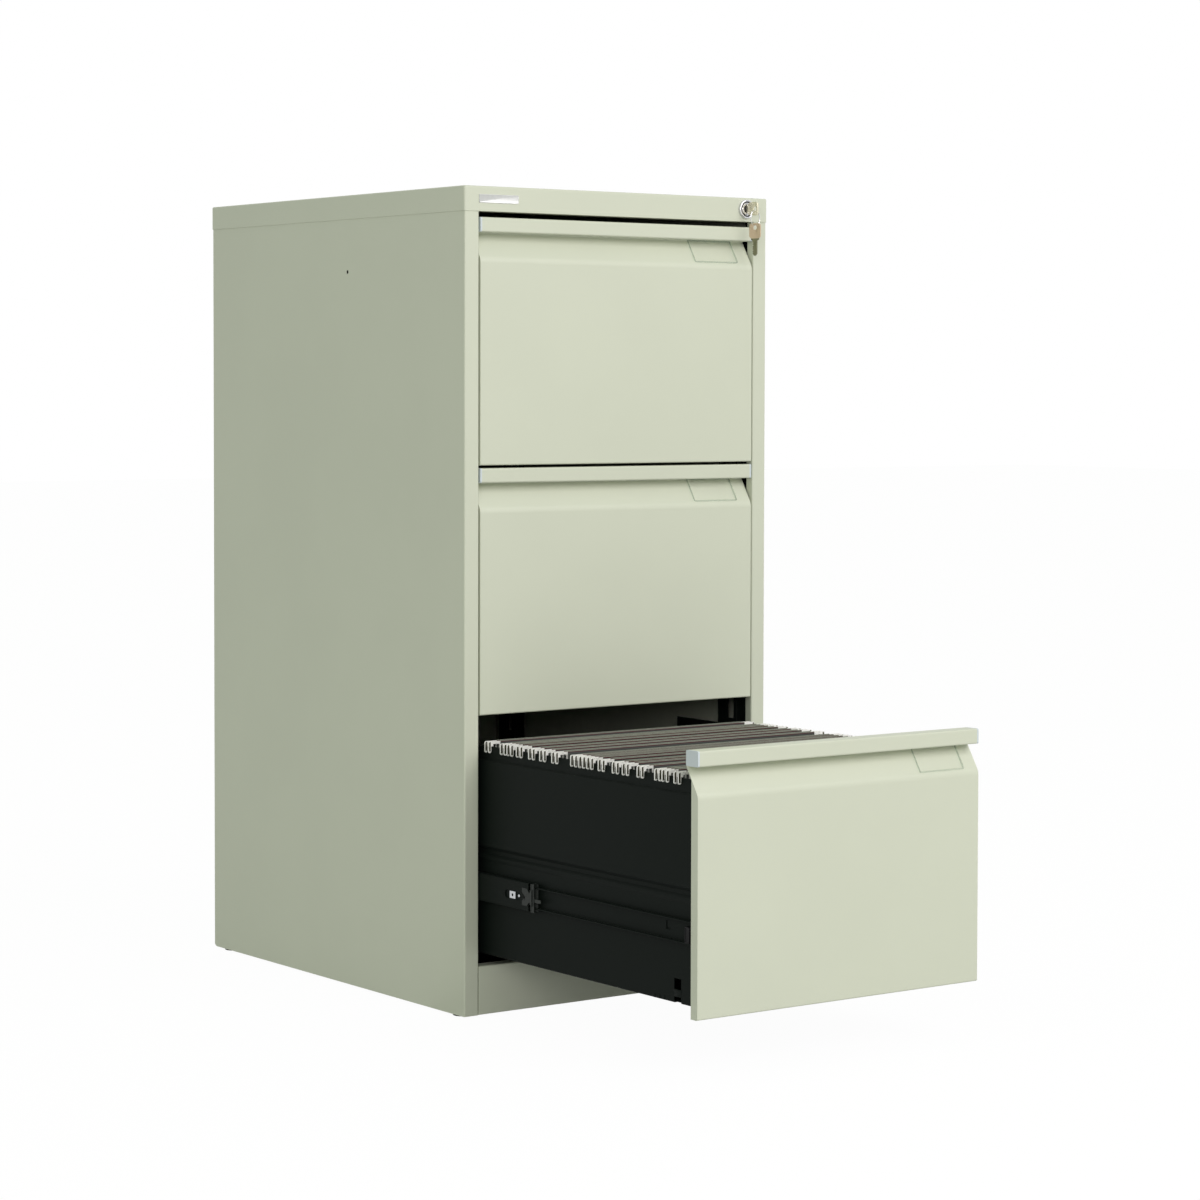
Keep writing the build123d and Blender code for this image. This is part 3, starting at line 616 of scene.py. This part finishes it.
# Glides: domed nylon buttons on ribbed stems, each drawn as radius and height
GLIDE_X = 220.0
GLIDE_Y = 283.0
GLIDE_STEPS = [
    (9.6, 0.0), (10.7, 0.5), (11.0, 1.2), (11.0, 2.0), (10.2, 2.6), (8.0, 2.9), (5.0, 3.0), (4.0, 3.0),
    (4.0, 6.0), (3.6, 6.3), (3.6, 7.0), (4.0, 7.3), (4.0, 9.0), (3.6, 9.3), (3.6, 10.0), (4.0, 10.3),
    (4.0, 12.0), (3.0, 13.0),
]
foot = turned("glide", 0.0, 0.0, GLIDE_STEPS, sides=40)
carried(foot, turn=(90.0, 0.0, 0.0))
feet = []
for side in (-1, 1):
    for end in (-1, 1):
        feet.append(carried(duplicate(foot, "glide_copy"), side * GLIDE_X, end * GLIDE_Y))
bpy.data.objects.remove(foot)
glides = joined("floor_glides", *feet)
dressed(glides, "cabinet", "black_plastic", black_plastic, stands_for=("glide_feet",))


# Clear label sleeves on the slanted recesses
SLEEVE_LEFT = 120.0
SLEEVE_WIDTH = 69.0
SLEEVE_LENGTH = 33.0
SLEEVE_DEPTH = 2.2
SLEEVE_RIM = 0.8
SLEEVE_HOLLOW = 1.7
SLEEVE_LIP = 0.6
SLEEVE_LIFT = 0.6
SLEEVE_START = 4.6
THUMB_RADIUS = 9.0
CREASE = 251.0
LEAN = math.atan2(33.5, 21.0)


def label_sleeve(number):
    """Drawn flat, with its thumb notch towards +Y and its window towards +Z, then leant on the recess."""
    sleeve = block(f"label_sleeve_{number}", (0.0, 0.0, 0.0), (SLEEVE_WIDTH, SLEEVE_LENGTH, SLEEVE_DEPTH))
    open_edit(sleeve, faces=lambda at, way: way.z < -0.9)
    bpy.ops.mesh.inset(thickness=SLEEVE_RIM * MM, depth=0.0)
    pull(z=SLEEVE_HOLLOW)
    close_edit()
    round_off(sleeve, lambda at, way: abs(way.z) > 0.9 and at.y < 0.1, 1.6, 4)
    middle = (SLEEVE_WIDTH / 2, SLEEVE_LENGTH + 3.0, SLEEVE_DEPTH)
    thumb = drum("thumb_notch", middle, THUMB_RADIUS, 1.6, "Z", 48)
    cut_away(sleeve, thumb)
    open_edit(sleeve, faces=lambda at, way: way.y < -0.9 and at.y < 0.1)
    pull(y=-SLEEVE_LIP, z=SLEEVE_LIP / 2)
    close_edit()
    softened(sleeve, 0.12)
    front, base = drawer_place(number)
    carried(sleeve, turn=(math.degrees(LEAN), 0.0, 0.0))
    up_slope = Vector((0.0, math.cos(LEAN), math.sin(LEAN)))
    outward = Vector((0.0, -math.sin(LEAN), math.cos(LEAN)))
    crease = Vector((SLEEVE_LEFT, front + 0.5, base + CREASE))
    carried(sleeve, *(crease + SLEEVE_START * up_slope + SLEEVE_LIFT * outward))
    dressed(sleeve, f"drawer_{number}", "clear_plastic", clear_film, clear_edge,
            choose=lambda at, way: int(abs(way.dot(outward)) < 0.7),
            stands_for=(f"drawer_{number}_label_sleeve",))


for number in DRAWERS:
    label_sleeve(number)

# Small parts of the slides, on both sides of each drawer. Setbacks run back from the retainer's start.
SLIDE_LEVEL = 96.0
WEB_FACE = 212.0
BOW_TIE = (5.0, 25.0, 10.5)
BOW_TIE_WAIST = 10.0
BOW_TIE_DENT = 6.5
BRACKET_LENGTH = 7.5
BRACKET_HALF = 17.0
NOSE_REACH = 13.0
CARRIER = (26.5, 64.5, 8.0)
CATCH = (40.5, 52.5, 4.4)
CATCH_HOLE = 46.5
RIVET = 32.5
CATCH_DROP = 1.0

# Setbacks run back from the drawer's front plane, and heights up from its lower edge
BUMPER = (17.0, 26.0)
CLIP = (39.0, 54.0)
CLIP_TOP = 27.5
CLIP_TURN_DOWN = 6.0
DIMPLES = (72.0, 81.0, 90.0)
DIMPLE_HEIGHT = 14.6


def slide_start(number):
    """Front end of a drawer's retainers and the height of its slides, in millimetres."""
    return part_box(f"drawer_{number}_retainers")[0][1] / MM, drawer_place(number)[1] + SLIDE_LEVEL


def slide_retainer(number):
    """Plastic bow-tie over the front end of each middle member, with the bracket that ends it."""
    start, level = slide_start(number)
    near, far, half = BOW_TIE
    low = (WEB_FACE + 0.02, start + near, level - half)
    bow = block("bow_tie", low, (WEB_FACE + 0.6, start + far, level + half))
    open_edit(bow, faces=everything)
    bpy.ops.mesh.subdivide(number_cuts=3)
    close_edit()
    waist = start + BOW_TIE_WAIST
    open_edit(bow, points=lambda at: abs(at.y - waist) < 0.5)
    bpy.ops.transform.resize(value=(1.0, 1.0, 0.5), center_override=place((WEB_FACE, waist, level)))
    close_edit()
    open_edit(bow, points=lambda at: at.y > start + far - 0.5 and abs(at.z - level) < 1.0)
    bpy.ops.transform.translate(value=place((0.0, -BOW_TIE_DENT, 0.0)))
    close_edit()
    low = (205.6, start, level - BRACKET_HALF)
    bracket = block("bracket", low, (WEB_FACE + 0.4, start + BRACKET_LENGTH, level + BRACKET_HALF))
    sink(bracket, lambda at, way: way.x > 0.9, 1.3, 0.9)
    sink(bracket, lambda at, way: way.y < -0.9, 1.1, 2.5)
    seat = block("seat", (210.3, start + 7.0, level - 9.0), (210.75, start + far, level + 9.0))
    nose = block("nose", (210.4, start - NOSE_REACH, level - 4.6), (211.8, start + 0.5, level - 0.4))
    round_off(nose, lambda at, way: abs(way.x) > 0.9 and at.y < start - NOSE_REACH + 1.0, 1.9)
    for each in (bow, bracket, seat, nose):
        softened(each, 0.15, 1)
    retainer = mirrored(joined(f"slide_retainer_{number}", bow, bracket, seat, nose))
    dressed(retainer, f"slides_{number}", "black_plastic", dark_plastic,
            stands_for=(f"drawer_{number}_retainers",))


def slide_catch(number):
    """Zinc catch plate and rivet that show through the slot in each middle member."""
    start, level = slide_start(number)
    level -= CATCH_DROP
    near, far, half = CARRIER
    low = (210.15, start + near, level - half)
    carrier = block(f"slide_carrier_{number}", low, (210.6, start + far, level + half))
    round_off(carrier, lambda at, way: abs(way.x) > 0.9, 2.0, 3)
    sink(carrier, lambda at, way: way.x > 0.9, 1.2, 0.15)
    near, far, half = CATCH
    plate = block("plate", (210.5, start + near, level - half), (211.5, start + far, level + half))
    cut_away(plate, drum("plate_hole", (211.0, start + CATCH_HOLE, level), 1.8, 4.0, "X", 28))
    rivet = drum("rivet", (211.3, start + RIVET, level + 0.5), 1.8, 1.6, "X", 28)
    dome(rivet, 0.8, 4)
    for each in (plate, carrier):
        softened(each, 0.15, 1)
    dressed(mirrored(joined(f"slide_catch_{number}", plate, rivet)), f"slides_{number}", "ball_steel", zinc)
    dressed(mirrored(carrier), f"slides_{number}", "black_paint", black_paint)


def dome(button, radius, steps):
    """Round the outer end of a button that lies along X."""
    open_edit(button, faces=lambda at, way: way.x > 0.9)
    bpy.ops.mesh.bevel(offset=radius * MM, segments=steps, affect="EDGES")
    close_edit()


def drawer_trim(number):
    """Bumpers on the runners, a clip in each front slot and the dimples under the tub's sides."""
    front, base = drawer_place(number)
    level = base + SLIDE_LEVEL
    low = (204.3, front + BUMPER[0], level - 12.0)
    bumper = block(f"runner_bumpers_{number}", low, (210.0, front + BUMPER[1], level + 6.5))
    round_off(bumper, lambda at, way: abs(way.z) > 0.9 and at.x > 209.0, 1.5, 3)
    sink(bumper, lambda at, way: way.x > 0.9, 1.2, 0.7)
    softened(bumper, 0.3)
    dressed(mirrored(bumper), f"drawer_{number}", "black_plastic", black_plastic)
    low = (201.6, front + CLIP[0], base + CLIP_TOP - 2.5)
    clip = block("clip", low, (203.4, front + CLIP[1], base + CLIP_TOP))
    open_edit(clip, faces=lambda at, way: way.z < -0.9)
    bpy.ops.mesh.inset(thickness=0.4 * MM, depth=0.0)
    pull(z=-CLIP_TURN_DOWN)
    close_edit()
    softened(clip, 0.25)
    dimples = []
    for setback in DIMPLES:
        dimple = drum("dimple", (202.9, front + setback, base + DIMPLE_HEIGHT), 2.4, 1.2, "X", 24)
        dome(dimple, 0.5, 3)
        dimples.append(dimple)
    trim = mirrored(joined(f"tub_trim_{number}", clip, *dimples))
    dressed(trim, f"drawer_{number}", "black_paint", black_paint)


for number in DRAWERS:
    slide_retainer(number)
    slide_catch(number)
    drawer_trim(number)

# Hanging files in the bottom drawer
FILE_SETBACKS = (45, 68, 81, 114, 143, 163, 190, 212, 229, 246, 284, 309, 331, 357, 377, 392, 425)
FILE_SKEW = 0.25
HOOK_LEVEL = 334.0
BAR_TOP = 340.0
BAR_LOW = 330.0
NOTCH = 203.5
TIP_OUTER = 207.5
TIP_LOW = 326.0
RIM_END = TIP_LOW + 2.2
BAR_HALF = 0.8
NECK_START = 191.5
NECK_LOW = 336.8
SEAT_START = 200.6
BAR_FROM_MIDDLE = 3.95
TIP_RADIUS = 1.9
CORNER_RADIUS = 2.0
HOOK_RIM = 0.8
HOOK_DISH = 0.3
POCKET_HALF = 190.2
POCKET_FOOT = 105.6
CARD_THICKNESS = 0.4
CARD_RISE = 0.3
FLAP_LENGTH = 12.6
FOLD_RADIUS = 0.6


def is_across(way):
    """Whether a direction runs through a bar's thickness."""
    return abs(way.y) > 0.9


def file_bar(name):
    """One stamped bar: half of it drawn from the middle out to its hook, then mirrored."""
    bar = block(name, (0.0, -BAR_HALF, BAR_LOW), (NECK_START, BAR_HALF, BAR_TOP))
    open_edit(bar, faces=everything)
    bpy.ops.mesh.bisect(plane_co=place((0.0, 0.0, NECK_LOW)), plane_no=(0.0, 0.0, 1.0))
    close_edit()
    open_edit(bar, faces=lambda at, way: way.x > 0.9 and at.z > NECK_LOW)
    pull(x=SEAT_START - NECK_START)
    pull(x=NOTCH - SEAT_START)
    pull(x=TIP_OUTER - NOTCH)
    close_edit()
    open_edit(bar, faces=lambda at, way: way.z < -0.9 and at.x > SEAT_START)
    pull(z=HOOK_LEVEL - NECK_LOW)
    close_edit()
    open_edit(bar, faces=lambda at, way: way.z < -0.9 and at.x > NOTCH)
    pull(z=TIP_LOW - HOOK_LEVEL)
    close_edit()
    round_off(
        bar, lambda at, way: is_across(way) and at.z < TIP_LOW + 0.5 and at.x > NOTCH - 0.5, TIP_RADIUS, 4
    )
    round_off(
        bar, lambda at, way: is_across(way) and at.z > BAR_TOP - 0.5 and at.x > TIP_OUTER - 0.5, CORNER_RADIUS, 3
    )
    open_edit(bar, faces=everything)
    bpy.ops.mesh.select_all(action="SELECT")
    bpy.ops.mesh.bisect(plane_co=place((0.0, 0.0, RIM_END)), plane_no=(0.0, 0.0, 1.0))
    close_edit()
    open_edit(bar, faces=lambda at, way: is_across(way) and at.x > NOTCH and at.z > RIM_END)
    bpy.ops.mesh.inset(thickness=HOOK_RIM * MM, depth=-HOOK_DISH * MM, use_boundary=True)
    close_edit()
    open_edit(bar, faces=lambda at, way: way.x < -0.9 and abs(at.x) < 0.1)
    bpy.ops.mesh.delete(type="FACE")
    close_edit()
    mirrored(bar)
    return facing_out(bar)


def file_card(name):
    """One card pocket: from the flap over its front bar, down, under and up over its rear bar."""
    bpy.ops.object.select_all(action="DESELECT")
    over = BAR_FROM_MIDDLE + BAR_HALF + 0.25
    inner = BAR_FROM_MIDDLE - BAR_HALF - 0.3
    middle = place((0.0, -over, BAR_TOP + CARD_RISE - FLAP_LENGTH / 2))
    bpy.ops.mesh.primitive_plane_add(size=1.0, location=middle, rotation=(math.pi / 2, 0.0, 0.0))
    bpy.ops.transform.resize(value=(2 * POCKET_HALF * MM, 1.0, FLAP_LENGTH * MM), center_override=middle)
    card_sheet = settle(name)
    open_edit(card_sheet, edges=lambda at, way: at.z > BAR_TOP - 1.0 and abs(way.x) > 0.9)
    drop = BAR_TOP + CARD_RISE - POCKET_FOOT
    fold = over - inner
    for y, z in ((fold, 0.0), (0.0, -drop), (2 * inner, 0.0), (0.0, drop), (fold, 0.0), (0.0, -FLAP_LENGTH)):
        pull(y=y, z=z)
    close_edit()
    creases = card_sheet.modifiers.new("folds", "BEVEL")
    creases.width = FOLD_RADIUS * MM
    creases.segments = 2
    creases.limit_method = "ANGLE"
    creases.angle_limit = math.radians(40)
    wall = card_sheet.modifiers.new("thickness", "SOLIDIFY")
    wall.thickness = CARD_THICKNESS * MM
    wall.offset = 0.0
    activate(card_sheet)
    bpy.ops.object.modifier_apply(modifier=creases.name)
    bpy.ops.object.modifier_apply(modifier=wall.name)
    return facing_out(card_sheet)


def sunk_hook_face(at, way):
    """1 for a face in the sunk middle of a hook, which gets painted shade, and 0 for any other."""
    inside = NOTCH + 0.7 < abs(at.x) < TIP_OUTER - 0.7 and RIM_END + 0.2 < at.z < BAR_TOP - 1.0
    return int(is_across(way) and inside)


def hung_files():
    """Hang all files a little askew, in cards of different ages."""
    shuffle = random.Random(11)
    front = drawer_place(3)[0]
    near = carried(file_bar("bar_near"), y=-BAR_FROM_MIDDLE)
    far = carried(file_bar("bar_far"), y=BAR_FROM_MIDDLE)
    pair = softened(joined("bar_pair", near, far), 0.12, 1)
    sheet = file_card("card")
    for number, setback in enumerate(FILE_SETBACKS, start=1):
        turn = (0.0, 0.0, shuffle.uniform(-FILE_SKEW, FILE_SKEW))
        bars = carried(duplicate(pair, f"file_bars_{number}"), y=front + setback, turn=turn)
        # The sunk middle of each hook gets painted shade.
        dressed(bars, "drawer_3", "hanger_steel", nickel, hook_painted_shade, stands_for=("file_hangers",),
                choose=sunk_hook_face)
        card_copy = carried(duplicate(sheet, f"file_card_{number}"), y=front + setback, turn=turn)
        finish = CARD_FINISHES[shuffle.choice((0, 0, 0, 1, 1, 2))]
        dressed(card_copy, "drawer_3", "pocket_card", finish, stands_for=("file_pockets",))
    bpy.data.objects.remove(pair)
    bpy.data.objects.remove(sheet)


hung_files()

# Pale floor and background, which camera, glossy and transmission rays see as plain white
WHITE = (1.0, 1.0, 1.0)
FLOOR_GREY = 0.6
FLOOR_WHITE = 0.94
FLOOR_GLOW = 1.03
FILL = 0.5
FILL_TINT = (0.92, 1.0, 0.87)
LAMP_TINT = (1.0, 0.95, 0.99)
SOFTBOXES = {
    "key_softbox": ((1.2, -4.6, 3.2), (0.0, -0.3, 0.5), 3.0, 125.0),
    "side_softbox": ((-2.6, -3.4, 1.5), (-0.235, -0.31, 0.6), 1.5, 28.0),
}


def white_rays(tree):
    """1 for the rays that see the plain white background, directly or in metal and glass."""
    rays = tree.nodes.new("ShaderNodeLightPath").outputs
    seen = Value(tree, rays["Is Camera Ray"])
    for other in ("Is Glossy Ray", "Is Transmission Ray"):
        seen = seen.maths("MAXIMUM", Value(tree, rays[other]))
    return seen


def studio_floor():
    bpy.ops.object.select_all(action="DESELECT")
    bpy.ops.mesh.primitive_plane_add(size=40.0, location=(0.0, 0.0, 0.0))
    floor = bpy.context.object
    floor.name = "studio_floor"
    finish = Finish("studio_floor", (FLOOR_GREY, FLOOR_GREY, FLOOR_GREY), 0.8)
    floor.data.materials.append(finish.material)
    nodes = finish.tree.nodes
    links = finish.tree.links
    glow = nodes.new("ShaderNodeEmission")
    glow.inputs["Strength"].default_value = FLOOR_GLOW
    blend = nodes.new("ShaderNodeMixShader")
    links.new((white_rays(finish.tree) * FLOOR_WHITE).socket, blend.inputs[0])
    links.new(finish.shader.outputs[0], blend.inputs[1])
    links.new(glow.outputs[0], blend.inputs[2])
    links.new(blend.outputs[0], nodes["Material Output"].inputs[0])


def studio_world():
    world = bpy.data.worlds.new("studio")
    bpy.context.scene.world = world
    world.use_nodes = True
    sky = world.node_tree
    background = sky.nodes["Background"]
    backdrop = white_rays(sky)
    sky.links.new(backdrop.between(FILL_TINT, WHITE).socket, background.inputs["Color"])
    sky.links.new((backdrop * (1.0 - FILL) + FILL).socket, background.inputs["Strength"])


def softbox(name, position, aim, size, power):
    lamp = bpy.data.lights.new(name, "AREA")
    lamp.shape = "SQUARE"
    lamp.size = size
    lamp.energy = power
    lamp.color = LAMP_TINT
    holder = bpy.data.objects.new(name, lamp)
    bpy.context.collection.objects.link(holder)
    holder.location = position
    holder.rotation_euler = (Vector(aim) - Vector(position)).to_track_quat("-Z", "Y").to_euler()


studio_floor()
studio_world()
for name, settings in SOFTBOXES.items():
    softbox(name, *settings)

# Camera, at the photograph's angle, in metres and degrees
CAMERA_AT = (-2.4045, -3.570, 0.7735)
CAMERA_YAW = -36.06
CAMERA_TILT = 87.8
CAMERA_ROLL = 0.13

camera = bpy.data.cameras.new("camera")
camera.sensor_width = 36.0
camera.lens = 96.8
camera.shift_y = -0.075
camera.clip_end = 100.0
viewer = bpy.data.objects.new("camera", camera)
bpy.context.collection.objects.link(viewer)
yaw = Matrix.Rotation(math.radians(CAMERA_YAW), 4, "Z")
tilt = Matrix.Rotation(math.radians(CAMERA_TILT), 4, "X")
roll = Matrix.Rotation(math.radians(CAMERA_ROLL), 4, "Z")
viewer.matrix_world = Matrix.Translation(CAMERA_AT) @ yaw @ tilt @ roll
bpy.context.scene.camera = viewer

bpy.context.scene.view_settings.view_transform = "Standard"
